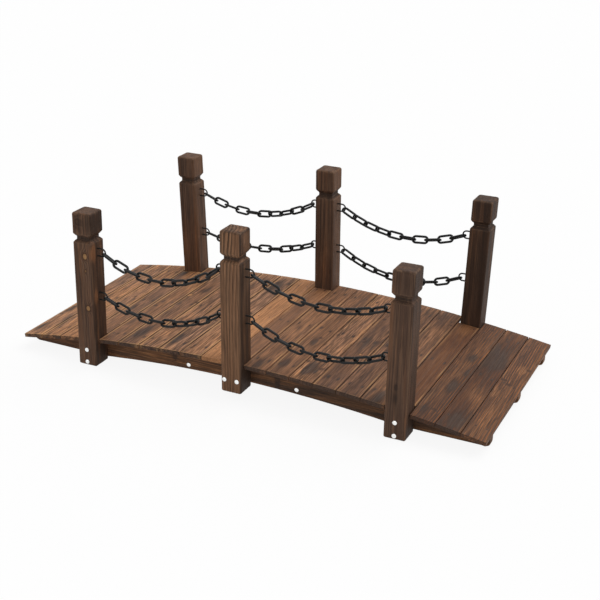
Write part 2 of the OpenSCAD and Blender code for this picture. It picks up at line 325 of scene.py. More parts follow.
def eased(outline, eases, spacing):
    """A line through the outline's points with each inner corner bent by a quadratic curve that starts its ease before
    the corner and ends as far after it. Straight runs are cut into steps of about the spacing. Also says how near
    each point is to the middle of a bend, from 0 to 1."""
    outline = np.asarray(outline, float)
    runs = np.diff(outline, axis=0)
    lengths = np.linalg.norm(runs, axis=1)
    ways = runs / lengths[:, None]
    line, near = [outline[:1]], [np.zeros(1)]
    for k in range(len(runs)):
        start = outline[k] + ways[k] * (eases[k - 1] if k else 0)
        last = k == len(runs) - 1
        stop = outline[k + 1] - ways[k] * (0 if last else eases[k])
        steps = max(1, round(np.linalg.norm(stop - start) / spacing))
        line.append(start + (stop - start) * np.linspace(0, 1, steps + 1)[1:, None])
        near.append(np.zeros(steps))
        if not last:
            t = np.linspace(0, 1, BEND_STEPS + 1)[1:, None]
            leave = outline[k + 1] + ways[k + 1] * eases[k]
            line.append((1 - t) ** 2 * stop + 2 * t * (1 - t) * outline[k + 1] + t**2 * leave)
            near.append(4 * (t * (1 - t))[:, 0])
    return np.concatenate(line), np.concatenate(near)


# Eases of a post's outline from its foot to the top of its cap, and of its upright edges
POST_EASES = (5.0, 2.5, 2.0, 2.0, 2.5, 7.0)
SHAFT_ROUND, NECK_ROUND, CAP_ROUND = 4.5, 2.5, 5.0
POST_ROW_SPACING, POST_STEPS = 3.6, (32, 32)
# Half width of the first and last loops, and how much narrower than the shaft the groove's loops are
POLE, GROOVE_START = 2.0, 2.0


def make_post(side, place, log, material):
    """A square post: loops of a rounded square carried up the half outline from foot to cap, each moved by the post's
    lean times its height."""
    half, foot = POST_WIDTH / 2, MIDDLE_LIFT if place == "middle" else 0.0
    shoulder = POST_LENGTH - CAP_HEIGHT - CAP_SLOPE - NECK_HEIGHT - SHOULDER_SLOPE
    neck, cap = shoulder + SHOULDER_SLOPE, POST_LENGTH - CAP_HEIGHT
    outline = [
        (POLE, 0), (half, 0), (half, shoulder), (half - GROOVE_DEPTH, neck), (half - GROOVE_DEPTH, neck + NECK_HEIGHT),
        (half, cap), (half, POST_LENGTH), (POLE, POST_LENGTH),
    ]
    line, near = eased(outline, POST_EASES, POST_ROW_SPACING)
    shape = loop_shape(*POST_STEPS)
    width, height = line.T
    full = width > half - GROOVE_START
    round_at = np.where(height > cap, CAP_ROUND, np.where(full, SHAFT_ROUND, NECK_ROUND))
    rings = loops_along(shape, height, width, width, round_at, round_at)
    edge = np.maximum(near[:, None], shape.corner * full[:, None])
    middle = np.array([PLACES[place] * POST_SPACING, SIDES[side] * POST_Y, foot])
    placed = lambda grain: grain[:, [1, 2, 0]] + middle + grain[:, :1] * (LEANS[side, place], 0, 0)
    return wooden_piece(f"post_{side}_{place}", "post_wood", material, rings, edge, log, placed)


# Rows of a rounded end, as shares of its radius in from the end, and scales of the loops on the end face
END_STEPS, END_FACE = (2.2, 1.5, 1, 0.6, 0.3, 0.1, 0), (0.82, 0.55, 0.25)
END_REACH = 3


def end_rows(length, spacing, ease):
    """Rows along a straight piece from -1/2 to 1/2 of its length: places, how far the section is drawn in there by a
    rounded end of radius `ease`, the section's scale on the end faces, and 1 at the ends falling to 0 inside."""
    reach = length / 2 - END_REACH * ease
    inner = np.linspace(-reach, reach, max(2, round(length / spacing)))
    rounding = length / 2 - ease * np.array(END_STEPS)
    face = np.array(END_FACE)
    right = np.concatenate([rounding, np.full(len(face), length / 2)])
    places = np.concatenate([-right[::-1], inner, right])
    depth = np.clip(ease - (length / 2 - np.abs(places)), 0, ease)
    drawn_in = ease - np.sqrt(ease**2 - depth**2)
    scale = np.concatenate([face[::-1], np.ones(len(places) - 2 * len(face)), face])
    return places, drawn_in, scale, depth / ease * (scale == 1)


def board_place(number):
    """Turn about the arc's centre, width and length of a deck board, counted from 1 at the left end."""
    place = number - BOARDS_PER_SIDE - 1
    crown_angle = np.arcsin((POST_WIDTH + BOARD_GAP) / 2 / DECK_RADIUS)
    end_angle = np.arcsin((DECK_LENGTH + BOARD_GAP) / 2 / DECK_RADIUS)
    step = (end_angle - crown_angle) / BOARDS_PER_SIDE
    turn = np.sign(place) * (crown_angle + (abs(place) - 0.5) * step) if place else 0.0
    width = 2 * DECK_RADIUS * np.sin(step / 2) - BOARD_GAP if place else POST_WIDTH
    x = DECK_RADIUS * np.sin(turn)
    short = place == 0 or abs(abs(x) - POST_SPACING) < (POST_WIDTH + width) / 2
    return turn, width, 2 * (POST_FACE - BOARD_END_GAP) if short else DECK_WIDTH


def on_arc(turn, grain):
    """From a deck board's (along, u, v) to the frame: u is height in the board and v runs towards the right end."""
    along, u, v = grain.T
    reach = BOARD_RADIUS + BOARD_THICKNESS / 2 + u
    return np.stack([
        v * np.cos(turn) + reach * np.sin(turn), along, ARC_CENTRE - v * np.sin(turn) + reach * np.cos(turn)
    ], 1)


ROW_SPACING = 6.5
BOARD_END_EASE, BOARD_STEPS = 0.7, (4, 34, 3)
# Share of the ease left at a board's ends, and how far in it starts to grow and is whole
CRISP_SHARE, CRISP_END = 0.45, (2, 20)
# The worn rim inside a board's long edges and ends, as (distance in, width)
SIDE_RIM, END_RIM = (4.5, 2.4), (3.5, 2.8)


def make_board(number, log, material, ease):
    """A deck board: loops of a flat rounded rectangle carried across the bridge, with edges and ends eased. The edges
    are crisper near the ends. The worn rim is a bell curve about a line just inside the edges."""
    turn, width, length = board_place(number)
    places, drawn_in, scale, _ = end_rows(length, ROW_SPACING, BOARD_END_EASE)
    ease = ease * (CRISP_SHARE + (1 - CRISP_SHARE) * smooth(length / 2 - np.abs(places), *CRISP_END))
    shape = loop_shape(*BOARD_STEPS)
    half_u, half_v = (BOARD_THICKNESS / 2 - drawn_in) * scale, (width / 2 - drawn_in) * scale
    rings = loops_along(shape, places, half_u, half_v, ease, ease)
    edge = np.broadcast_to(shape.corner, rings.shape[:2])
    from_side, from_end = width / 2 - np.abs(rings[..., 2]), length / 2 - np.abs(rings[..., 0])
    off_side = ((from_side - SIDE_RIM[0]) / SIDE_RIM[1]) ** 2
    off_end = ((from_end - END_RIM[0]) / END_RIM[1]) ** 2
    rim = np.exp(-np.minimum(off_side, off_end))
    placed = lambda grain: on_arc(turn, grain)
    return wooden_piece(f"deck_board_{number}", "deck_wood", material, rings, edge, log, placed, rim)


BEAM_EASE, BEAM_LOW_ROUND, BEAM_HIGH_ROUND, BEAM_STEPS = 1.5, 4.0, 1.5, (9, 24)
SPLICE_ROUND, SPLICE_STEPS, SPLICE_ROW_SPACING = 2.0, (7, 14), 8.0


def make_half_beam(row, side, bay, log, material):
    """Half a beam: loops of an upright rounded rectangle carried along the bridge between two arcs about one centre,
    with a flat foot and a rounded lower corner at the outer end."""
    places, drawn_in, scale, end = end_rows(BEAM_LENGTH, ROW_SPACING, BEAM_EASE)
    sign = PLACES[bay]
    x = places + sign * BEAM_LENGTH / 2
    reach = np.abs(x)
    top = ARC_CENTRE + np.sqrt(BEAM_RADIUS**2 - x**2)
    arc = ARC_CENTRE + np.sqrt((BEAM_RADIUS - BEAM_DEPTH) ** 2 - x**2)
    into_corner = np.clip(reach - (BEAM_LENGTH - BEAM_CORNER), 0, BEAM_CORNER)
    foot = BEAM_FOOT + BEAM_CORNER - np.sqrt(BEAM_CORNER**2 - into_corner**2)
    low = np.maximum(arc, foot)
    shape = loop_shape(*BEAM_STEPS)
    half_u = (BEAM_THICKNESS / 2 - drawn_in) * scale
    half_v = ((top - low) / 2 - drawn_in) * scale
    rings = loops_along(shape, x, half_u, half_v, BEAM_LOW_ROUND, BEAM_HIGH_ROUND, (top + low) / 2)
    edge = np.maximum(end[:, None], shape.corner)
    placed = lambda grain: grain + (0, side * BEAM_Y, 0)
    return wooden_piece(f"beam_{row}_{bay}", "beam_wood", material, rings, edge, log, placed)


def make_splice(row, side, log, material):
    """A straight joining board beside two half beams: loops of a rounded rectangle carried along the bridge."""
    places, drawn_in, scale, end = end_rows(SPLICE_LENGTH, SPLICE_ROW_SPACING, BEAM_EASE)
    shape = loop_shape(*SPLICE_STEPS)
    top = ARC_CENTRE + BEAM_RADIUS - SPLICE_DROP
    half_u, half_v = (SPLICE_THICKNESS / 2 - drawn_in) * scale, (SPLICE_DEPTH / 2 - drawn_in) * scale
    rings = loops_along(shape, places, half_u, half_v, SPLICE_ROUND, SPLICE_ROUND)
    edge = np.maximum(end[:, None], shape.corner)
    inward = -1 if side == 1 else 1
    y = side * BEAM_Y + inward * (BEAM_THICKNESS + SPLICE_THICKNESS) / 2
    placed = lambda grain: grain + (0, y, top - SPLICE_DEPTH / 2)
    return wooden_piece(f"splice_{row}", "beam_wood", material, rings, edge, log, placed)


# Shader nodes


def node(tree, kind, inputs=None, **settings):
    """One shader node: settings are its own properties, and each input is linked to a socket or set to a value."""
    made = tree.nodes.new(kind)
    for key, value in settings.items():
        setattr(made, key, value)
    for key, value in (inputs or {}).items():
        if isinstance(value, bpy.types.NodeSocket):
            tree.links.new(value, made.inputs[key])
        else:
            made.inputs[key].default_value = value
    return made


def sums(tree, operation, a, b=0.0, c=0.0):
    """The result of one sum on up to three values."""
    return node(tree, "ShaderNodeMath", {0: a, 1: b, 2: c}, operation=operation).outputs[0]


def times(tree, a, b):
    """The product of two values."""
    return sums(tree, "MULTIPLY", a, b)


def ramp(tree, value, low, high, start=0.0, stop=1.0):
    """A smooth step from start to stop while the value goes from low to high."""
    limits = {"Value": value, "From Min": low, "From Max": high, "To Min": start, "To Max": stop}
    return node(tree, "ShaderNodeMapRange", limits, interpolation_type="SMOOTHSTEP").outputs[0]


def mixed(tree, share, a, b, blend="MIX"):
    """Colour b laid over colour a by a share."""
    inputs = {0: share, 6: a, 7: b}
    return node(tree, "ShaderNodeMix", inputs, data_type="RGBA", blend_type=blend, clamp_factor=True).outputs[2]


def noise(tree, vector, scale, detail=2.0, roughness=0.5):
    """Shader noise from 0 to 1."""
    inputs = {"Vector": vector, "Scale": scale, "Detail": detail, "Roughness": roughness}
    return node(tree, "ShaderNodeTexNoise", inputs).outputs["Fac"]


def tint(red, green, blue):
    """A colour written as screen values from 0 to 255, as the shader's linear colour."""
    share = np.array([red, green, blue]) / 255
    linear = np.where(share <= 0.04045, share / 12.92, ((share + 0.055) / 1.055) ** 2.4)
    return (*linear.tolist(), 1.0)


def new_group(name, inputs, outputs):
    """A node group with named sockets, and its inner sockets. Each input is (name, kind, value or None)."""
    group = bpy.data.node_groups.new(name, "ShaderNodeTree")
    for label, kind, value in inputs:
        socket = group.interface.new_socket(label, in_out="INPUT", socket_type="NodeSocket" + kind)
        if value is not None:
            socket.default_value = value
    for label, kind in outputs:
        group.interface.new_socket(label, in_out="OUTPUT", socket_type="NodeSocket" + kind)
    return group, group.nodes.new("NodeGroupInput").outputs, group.nodes.new("NodeGroupOutput").inputs


def scorched_softwood_group():
    """Colour, roughness and height of brushed, scorched softwood from the fields of a wood skin.
    Grain is a place squeezed along the fibres. Late wood shows where the ring number nears a whole number."""
    shares = {"Valley Soot": 0.0, "Line Soot": 0.5, "Flecks": 0.4, "Streaks": 1.0, "Ash Share": 0.0}
    colours = ("Early Wood", "Late Wood", "Amber", "Char", "Worn Edge", "Glow", "Ash", "Pale Heart")
    inputs = [(label, "Vector", None) for label in ("Grain", "Fleck Place")]
    inputs += [(field.capitalize(), "Float", None) for field in FIELDS]
    inputs += [(label, "Float", share) for label, share in shares.items()]
    inputs += [(label, "Color", None) for label in colours]
    outputs = [("Colour", "Color"), ("Roughness", "Float"), ("Height", "Float")]
    group, given, put = new_group("scorched_softwood", inputs, outputs)
    t, char = group, given["Char"]
    grain, knot, scorch, figure, depth = (given[x] for x in ("Grain", "Knot", "Scorch", "Figure", "Depth"))
    # Fibres, streaks, broad bands and pores
    fibre = noise(t, grain, scale=420.0, detail=3.0, roughness=0.65)
    streak = sums(t, "SUBTRACT", noise(t, grain, scale=150.0, detail=3.0, roughness=0.6), 0.5)
    streak = sums(t, "MULTIPLY_ADD", streak, given["Streaks"], 0.5)
    broad = noise(t, grain, scale=55.0)
    pore = noise(t, grain, scale=1500.0, detail=1.0)
    # Early and late wood of the rings, both darker where the stain is deep
    phase = sums(t, "FRACT", sums(t, "MULTIPLY_ADD", fibre, 0.3, given["Ring"]))
    late = times(t, ramp(t, phase, LATE_START, LATE_FULL), ramp(t, phase, LATE_STOP, 1.0, start=1.0, stop=0.0))
    colour = mixed(t, depth, given["Early Wood"], given["Late Wood"])
    late_colour = mixed(t, ramp(t, depth, 0.5, 1.0), given["Late Wood"], char)
    colour = mixed(t, times(t, late, figure), colour, late_colour)
    # Warm streaks, and a glow just after the late wood of a strong figure
    shallow = ramp(t, depth, 0.0, 1.0, start=1.0, stop=0.45)
    warm = ramp(t, sums(t, "MULTIPLY_ADD", streak, 1.4, given["Warmth"]), 0.75, 1.5, stop=0.85)
    colour = mixed(t, times(t, warm, shallow), colour, given["Amber"])
    glow = times(t, ramp(t, phase, 0.02, 0.12), ramp(t, phase, 0.12, 0.4, start=1.0, stop=0.0))
    glow = times(t, glow, ramp(t, figure, 0.55, 1.0, stop=0.7))
    colour = mixed(t, times(t, glow, shallow), colour, given["Glow"])
    # Scorching, ragged ashen patches, soot in the valleys and soot along thin lines of the grain
    burnt = sums(t, "MULTIPLY_ADD", broad, -0.9, sums(t, "MULTIPLY_ADD", streak, -0.7, scorch))
    colour = mixed(t, ramp(t, burnt, -0.5, 0.3, stop=0.9), colour, char)
    patches = noise(t, given["Fleck Place"], scale=75.0, detail=3.0, roughness=0.65)
    ragged = sums(t, "MULTIPLY_ADD", patches, -1.5, scorch)
    ashen = times(t, ramp(t, ragged, -0.06, 0.3), given["Ash Share"])
    colour = mixed(t, ashen, colour, given["Ash"])
    low = ramp(t, late, 0.0, 0.2, start=1.0, stop=0.0)
    valley = times(t, low, sums(t, "SUBTRACT", figure, 0.35))
    colour = mixed(t, times(t, valley, given["Valley Soot"]), colour, char)
    plain = ramp(t, figure, 0.0, 0.55, start=0.3, stop=1.0)
    for scale, width, share in ((95.0, 0.05, 0.9), (180.0, 0.09, 0.8)):
        wave = noise(t, grain, scale, roughness=0.55)
        apart = sums(t, "ABSOLUTE", sums(t, "SUBTRACT", wave, 0.5))
        line = times(t, ramp(t, apart, 0.0, width, start=share, stop=0.0), given["Line Soot"])
        colour = mixed(t, times(t, line, plain), colour, char)
    # Flecks, dark fibres and pores
    shade = ramp(t, noise(t, given["Fleck Place"], scale=260.0, detail=1.0), 0.36, 0.64, start=1.65, stop=0.5)
    flecks = times(t, given["Flecks"], ramp(t, depth, 0.2, 0.75, start=1.0, stop=0.35))
    colour = mixed(t, times(t, flecks, plain), colour, shade, "MULTIPLY")
    colour = mixed(t, ramp(t, fibre, 0.48, 0.68, stop=0.4), colour, char)
    colour = mixed(t, ramp(t, pore, 0.58, 0.72, stop=0.35), colour, char)
    # Worn edges
    worn = times(t, ramp(t, given["Edge"], 0.2, 0.75), ramp(t, streak, 0.35, 0.65, start=0.2, stop=0.8))
    colour = mixed(t, worn, colour, given["Worn Edge"])
    # Knots: a faint dark halo, a heart that is pale where the wood is warm, and a dark rim
    heart_colour = mixed(t, ramp(t, given["Warmth"], 0.9, 1.3), char, given["Pale Heart"])
    colour = mixed(t, ramp(t, knot, 1.0, 2.4, start=0.3, stop=0.0), colour, char)
    heart = ramp(t, knot, 0.6, 1.05, start=0.85, stop=0.0)
    heart = times(t, heart, ramp(t, fibre, 0.35, 0.65, start=1.0, stop=0.55))
    colour = mixed(t, heart, colour, heart_colour)
    rim = ramp(t, knot, 0.98, 1.3, start=0.75, stop=0.0)
    colour = mixed(t, times(t, ramp(t, knot, 0.72, 0.98), rim), colour, char)
    t.links.new(colour, put["Colour"])
    rough = ramp(t, late, 0.0, 1.0, start=0.66, stop=0.56)
    t.links.new(sums(t, "MULTIPLY_ADD", fibre, 0.14, rough), put["Roughness"])
    height = sums(t, "MULTIPLY_ADD", fibre, 0.5, times(t, late, 0.45))
    height = sums(t, "SUBTRACT", height, ramp(t, pore, 0.56, 0.74, stop=0.35))
    t.links.new(height, put["Height"])
    return group


def new_material(name):
    """An empty material with its Principled shader."""
    material = bpy.data.materials.new(name)
    material.use_nodes = True
    tree = material.node_tree
    return material, tree, tree.nodes["Principled BSDF"]


def bumped(tree, shader, height, strength, distance):
    """Fine relief from a height into the shader's normal."""
    bump = node(tree, "ShaderNodeBump", {"Height": height, "Strength": strength, "Distance": distance})
    tree.links.new(bump.outputs["Normal"], shader.inputs["Normal"])


def wood_material(name, group, squeeze, colours, gloss):
    """Scorched softwood whose fibres run along the axis that `squeeze` scales down. Flecks are shorter than fibres."""
    material, tree, shader = new_material(name)
    place = node(tree, "ShaderNodeTexCoord").outputs["Object"]
    short = tuple(FLECK_LENGTH * s if s < 1 else s for s in squeeze)
    grain, flecks = (
        node(tree, "ShaderNodeMapping", {"Vector": place, "Scale": scale}).outputs["Vector"]
        for scale in (squeeze, short)
    )
    fields = {f.capitalize(): node(tree, "ShaderNodeAttribute", attribute_name=f).outputs["Fac"] for f in FIELDS}
    inputs = {"Grain": grain, "Fleck Place": flecks, **fields, **colours}
    wood = node(tree, "ShaderNodeGroup", inputs, node_tree=group)
    tree.links.new(wood.outputs["Colour"], shader.inputs["Base Color"])
    tree.links.new(wood.outputs["Roughness"], shader.inputs["Roughness"])
    shader.inputs["Specular IOR Level"].default_value = gloss
    bumped(tree, shader, wood.outputs["Height"], strength=0.5, distance=0.0006)
    return material


def handled_metal_group():
    """Mottle of handled metal: a slow cloud, a fine grain and a scatter of scuffs, each from 0 to 1."""
    outputs = [(label, "Float") for label in ("Cloud", "Fine", "Scuff")]
    group, given, put = new_group("handled_metal", [("Place", "Vector", None)], outputs)
    place = given["Place"]
    group.links.new(noise(group, place, scale=90.0, detail=3.0), put["Cloud"])
    group.links.new(noise(group, place, scale=1800.0), put["Fine"])
    scuff = noise(group, place, scale=420.0, roughness=0.7)
    group.links.new(ramp(group, scuff, 0.62, 0.78), put["Scuff"])
    return group


def metal_material(name, group, base, scuffed, rough, metallic, bump, gloss=0.5):
    """Metal whose colour and polish vary with the mottle of handled metal."""
    material, tree, shader = new_material(name)
    base, scuffed = tint(*base), tint(*scuffed)
    place = node(tree, "ShaderNodeTexCoord").outputs["Object"]
    marks = node(tree, "ShaderNodeGroup", {"Place": place}, node_tree=group)
    cloud, fine, scuff = marks.outputs
    colour = mixed(tree, ramp(tree, cloud, 0.3, 0.7, stop=0.35), base, scuffed)
    colour = mixed(tree, times(tree, scuff, 0.6), colour, scuffed)
    tree.links.new(colour, shader.inputs["Base Color"])
    polish = ramp(tree, cloud, 0.25, 0.75, *rough)
    tree.links.new(sums(tree, "MULTIPLY_ADD", scuff, 0.12, polish), shader.inputs["Roughness"])
    shader.inputs["Metallic"].default_value = metallic
    shader.inputs["Specular IOR Level"].default_value = gloss
    bumped(tree, shader, fine, strength=bump, distance=0.0002)
    return material


softwood = scorched_softwood_group()
mottle = handled_metal_group()
ALONG_FIBRE, FLECK_LENGTH = 0.03, 2.6
POST_COLOURS = {
    "Early Wood": tint(92, 68, 54), "Late Wood": tint(167, 127, 95), "Amber": tint(138, 92, 60),
    "Char": tint(46, 32, 24), "Worn Edge": tint(116, 90, 70), "Glow": tint(140, 112, 82), "Valley Soot": 0.9,
    "Line Soot": 0.35, "Flecks": 0.2, "Pale Heart": tint(184, 140, 92),
}
DECK_COLOURS = {
    "Early Wood": tint(187, 140, 108), "Late Wood": tint(96, 58, 35), "Amber": tint(192, 134, 88),
    "Char": tint(62, 43, 33), "Worn Edge": tint(202, 154, 102), "Glow": tint(192, 116, 60), "Line Soot": 0.75,
    "Flecks": 0.8, "Streaks": 0.5, "Ash": tint(76, 60, 50), "Ash Share": 0.7, "Pale Heart": tint(190, 138, 92),
}
BEAM_COLOURS = {
    "Early Wood": tint(124, 88, 64), "Late Wood": tint(82, 55, 38), "Amber": tint(152, 104, 66),
    "Char": tint(56, 43, 36), "Worn Edge": tint(140, 104, 76), "Glow": tint(158, 114, 78), "Line Soot": 0.55,
    "Flecks": 0.4,
}
post_wood = wood_material("post_wood", softwood, (1, 1, ALONG_FIBRE), POST_COLOURS, gloss=0.22)
deck_wood = wood_material("deck_wood", softwood, (1, ALONG_FIBRE, 1), DECK_COLOURS, gloss=0.25)
beam_wood = wood_material("beam_wood", softwood, (ALONG_FIBRE, 1, 1), BEAM_COLOURS, gloss=0.22)
chain_steel = metal_material(
    "chain_steel", mottle, (11, 12, 12), (30, 31, 31), rough=(0.34, 0.5), metallic=0.0, bump=0.25, gloss=0.25
)
staple_steel = metal_material(
    "staple_steel", mottle, (30, 29, 28), (66, 62, 58), rough=(0.36, 0.55), metallic=0.1, bump=0.25, gloss=0.2
)
bolt_zinc = metal_material(
    "bolt_zinc", mottle, (248, 248, 246), (206, 206, 204), rough=(0.2, 0.34), metallic=1.0, bump=0.15
)
nail_iron = metal_material(
    "nail_iron", mottle, (58, 50, 46), (96, 84, 74), rough=(0.4, 0.6), metallic=0.8, bump=0.3
)

# Pieces of wood. All scatter is drawn from one set of dice, in a fixed order.

dice = np.random.default_rng(59)


def scattered(limit):
    """A drawn number from -limit to limit."""
    return dice.uniform(-limit, limit)


FACE = POST_WIDTH / 2
GROOVE = POST_LENGTH - CAP_HEIGHT - CAP_SLOPE - NECK_HEIGHT / 2
# A band of painted shade in the groove under a post's cap
GROOVE_SOOT = (GROOVE, 8.0, 0.5)
# right_soot is painted shade on the face at high u, and painted light where it is below 0
POST_LOGS = {
    ("near", "left"): timber(
        11, pith=(-18, 46), lean=(0.004, -0.006), ring_width=2.8, figure=0.34, scorch=0.5, warmth=0.2, cloud=0.6,
        right_soot=0.3, bands=[GROOVE_SOOT, (456, 34, 0.25)],
        knots=[
            (357, 9, -FACE, 8, 1.6), (311, 9, -FACE, 4, 0.9), (192, 12, -FACE, 7.5, 1.3), (462, -12, -FACE, 7, 0.7)
        ],
        stains=[(368, FACE, -22, 10, -1.6), (226, FACE, -16, 8, -1.2)],
    ),
    ("near", "middle"): timber(
        23, pith=(-88, -30), lean=(0.02, 0.004), ring_width=9.5, figure=1.4, scorch=-0.1, warmth=0.5, relief=0.5,
        cloud=0.7, wander=3.0, depth=0.6, right_soot=1.0, fade=0.2, right_plain=0.45,
        # The band at the groove is painted shade
        bands=[(GROOVE, 9.0, 1.3), (POST_LENGTH, 5.0, 0.8), (30.0, 80.0, 0.3)],
        stains=[(462, 24, -FACE, 16, 0.7), (462, FACE, 4, 22, -1.0)],
    ),
    ("near", "right"): timber(
        37, pith=(10, 58), lean=(0.003, 0.004), ring_width=2.6, figure=0.24, scorch=0.43, warmth=0.14, cloud=0.3,
        right_soot=0.32, bands=[GROOVE_SOOT, (462, 36, 0.2), (POST_LENGTH, 5.0, 0.15)],
        stains=[(158, -3, -FACE, 4, 1.6), (125, -4, -FACE, 8, 0.9)],
    ),
    ("far", "left"): timber(
        41, pith=(-34, 30), lean=(0.006, 0.003), ring_width=3.2, figure=0.3, scorch=0.58, warmth=0.25, cloud=0.6,
        right_soot=-0.15, bands=[GROOVE_SOOT],
    ),
    ("far", "middle"): timber(
        53, pith=(20, 52), lean=(-0.005, 0.005), ring_width=3.0, figure=0.38, scorch=0.6, warmth=0.25, relief=0.22,
        cloud=0.6, right_soot=-0.4, bands=[GROOVE_SOOT],
    ),
    ("far", "right"): timber(
        67, pith=(-12, -50), lean=(0.004, -0.004), ring_width=2.8, figure=0.3, scorch=0.9, warmth=0.1, cloud=0.4,
        bands=[GROOVE_SOOT],
    ),
}
for (side, place), log in POST_LOGS.items():
    make_post(side, place, log, post_wood)

# Scorch, warmth, figure and depth of stain of each deck board from the left end
BOARD_FINISH = [
    (0.34, 0.4, 0.6, 0.14), (0.33, 0.6, 0.6, 0.1), (0.35, 0.6, 0.5, 0.12), (0.48, 0.3, 0.6, 0.54),
    (0.46, 0.4, 0.6, 0.54), (0.48, 0.3, 0.6, 0.5), (0.44, 0.4, 0.65, 0.3), (0.36, 0.3, 0.7, 0.14),
    (0.42, 0.3, 0.6, 0.22), (-0.4, 0.95, 0.1, 0.0), (0.3, 0.3, 0.2, 0.68), (0.4, 0.35, 0.4, 0.56),
    (0.42, 0.35, 0.5, 0.66), (0.36, 0.45, 0.6, 0.3), (0.54, 0.25, 0.5, 0.62), (0.48, 0.25, 0.6, 0.58),
    (0.38, 0.3, 0.5, 0.6), (0.36, 0.15, 0.2, 1.05), (0.18, 0.3, 1.5, 1.0), (0.38, 0.3, 0.7, 1.0),
    (0.12, 0.35, 1.5, 0.88),
]
# Dark and bleached patches on some boards, as (along, across, size, strength)
BLOTCHES = {
    1: [(-262, -16, 16, 1.5), (-112, -14, 16, 1.5), (-190, 30, 14, 1.0)],
    2: [(-225, -30, 16, 1.1), (-190, 10, 16, -1.2)], 3: [(-214, -8, 18, -1.4)],
    4: [(258, 20, 20, -1.8), (256, -18, 12, 1.4), (-67, -14, 12, 1.3)], 5: [(139, 14, 18, -1.6)],
    6: [(-232, -4, 18, 1.5), (296, 6, 14, 1.0), (122, 2, 14, 1.3)], 7: [(-182, -26, 14, 1.1)],
    8: [(-250, -20, 16, 1.4), (286, 0, 18, 1.2)], 9: [(222, -10, 20, 1.2)], 10: [(-306, -12, 16, 0.9)],
    11: [(208, 4, 24, -1.2)], 12: [(-299, -4, 16, 1.3), (-24, -8, 12, 1.0)],
    13: [(-255, -8, 14, 1.3), (-92, 4, 12, 1.2)], 14: [(-249, -6, 18, 1.5)], 15: [(-20, 4, 26, 0.9)],
    16: [(30, -6, 26, 0.9)], 17: [(-290, 6, 18, 1.4)], 18: [(245, 0, 20, -1.2)],
    19: [(-112, 10, 16, 2.4), (78, 6, 12, 1.8), (-20, 20, 10, 1.6), (-274, -16, 18, 1.8)],
    20: [(120, -6, 36, 1.8), (-272, 4, 22, 2.0), (-110, 6, 26, -0.6)],
    21: [(108, 6, 9, -2.0), (-62, -24, 8, -2.0)],
}
# Pale knots, as (along, across, size)
PALE_KNOTS = {3: [(63, -23, 4)], 6: [(73, -29, 10)], 15: [(-96, 10, 5)]}
DARK_HEART, PALE_HEART = 0.0, 1.5
# Boards with more figure than this have one to three dark knots each
KNOTTY_FIGURE, KNOT_COUNT, KNOT_SIZE, KNOT_ALONG, KNOT_ACROSS = 0.4, (1, 4), (3.0, 6.0), 0.46, 0.42
# Boards with at least this much figure show straight lines along them
LINED_FIGURE, LINED_PITH, LINED_ACROSS, LINED_RING, LINED_WANDER = 1.0, -30.0, (52, 62), 6.0, 1.4
PLAIN_PITH, PLAIN_ACROSS, PLAIN_RING, PLAIN_WANDER = (-130, -45), 30, (3.4, 5.4), 1.0
BOARD_LEAN, BOARD_CLOUD, BOARD_TOP = (0.03, 0.02), 0.65, BOARD_THICKNESS / 2
# From this board on: how far the edges are worn, how much soot and painted shade of the seams they carry, and how far
# they are eased
BOARD_EDGES = {1: (1.7, 0.7, 1.8), 10: (0.95, 0.7, 1.2), 19: (0.5, 0.15, 1.2)}
# Nails go into the beams. Each has a dark stain, as (size, strength)
NAIL_ROWS = (-BEAM_Y, 0.0, BEAM_Y)
NAIL_INSET, NAIL_ALONG, NAIL_ACROSS, NAIL_STAIN = 17.0, 5, 4, (3.4, 1.5)
nail_spots = []
for number, (scorch, warmth, figure, depth) in enumerate(BOARD_FINISH, 1):
    turn, width, length = board_place(number)
    nails = [
        (row + scattered(NAIL_ALONG), BOARD_TOP, end * (width / 2 - NAIL_INSET) + scattered(NAIL_ACROSS))
        for row in NAIL_ROWS for end in (-1, 1)
    ]
    nail_spots += [(turn, *spot) for spot in nails]
    knots = [
        (
            scattered(KNOT_ALONG) * length, BOARD_TOP, scattered(KNOT_ACROSS) * width, dice.uniform(*KNOT_SIZE),
            DARK_HEART,
        )
        for _ in range(dice.integers(*KNOT_COUNT) if figure > KNOTTY_FIGURE else 0)
    ]
    knots += [(along, BOARD_TOP, across, size, PALE_HEART) for along, across, size in PALE_KNOTS.get(number, ())]
    stains = [(*spot, *NAIL_STAIN) for spot in nails]
    stains += [(along, BOARD_TOP, across, *patch) for along, across, *patch in BLOTCHES.get(number, ())]
    lined = figure >= LINED_FIGURE
    if lined:
        pith = (LINED_PITH, dice.uniform(*LINED_ACROSS))
    else:
        pith = (dice.uniform(*PLAIN_PITH), scattered(PLAIN_ACROSS))
    lean = tuple(scattered(limit) for limit in BOARD_LEAN)
    ring_width = LINED_RING if lined else dice.uniform(*PLAIN_RING)
    wear, edge_soot, ease = BOARD_EDGES[max(first for first in BOARD_EDGES if first <= number)]
    log = timber(
        100 + 9 * number, pith, lean, ring_width, figure, scorch, warmth, knots=knots, stains=stains,
        half_length=length / 2, cloud=BOARD_CLOUD, depth=depth, wander=LINED_WANDER if lined else PLAIN_WANDER,
        wear=wear, edge_soot=edge_soot,
    )
    make_board(number, log, deck_wood, ease)

